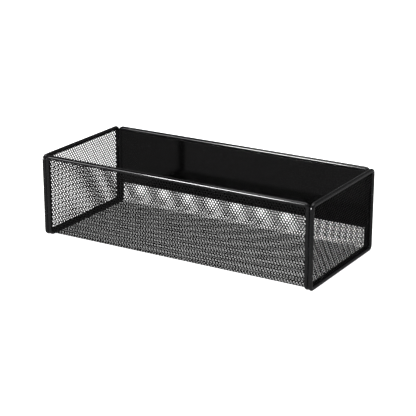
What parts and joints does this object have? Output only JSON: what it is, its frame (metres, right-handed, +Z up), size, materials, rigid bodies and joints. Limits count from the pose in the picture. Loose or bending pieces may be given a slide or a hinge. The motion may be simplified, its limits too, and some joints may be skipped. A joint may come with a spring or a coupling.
{
  "type": "desk organizer basket",
  "caption": "long low open-topped basket of black expanded steel mesh with rolled steel rims, rimmed mesh ends and a plain steel plate inside the upper back",
  "frame": {"origin": "middle of the footprint, on the plane the rims stand on", "axes": "+X along the basket to its right end as seen from the front, +Y from front to back, +Z up"},
  "size_m": [0.305, 0.1324, 0.085],
  "materials": {
    "mesh_enamel": "black gloss powder coat on expanded steel mesh",
    "rim_enamel": "black gloss powder coat on rolled steel strip",
    "plate_enamel": "black high-gloss enamel on smooth steel sheet",
    "core_steel": "black annealed steel wire"
  },
  "bodies": {
    "root": {"body_mesh": "mesh_enamel", "body_rim": "rim_enamel", "body_rim_wire": "core_steel", "left_end_mesh": "mesh_enamel", "left_end_rim": "rim_enamel", "left_end_rim_wire": "core_steel", "right_end_mesh": "mesh_enamel", "right_end_rim": "rim_enamel", "right_end_rim_wire": "core_steel", "back_plate": "plate_enamel", "plate_spot_welds": "mesh_enamel", "left_end_welds": "rim_enamel", "right_end_welds": "rim_enamel"}
  },
  "joints": []
}
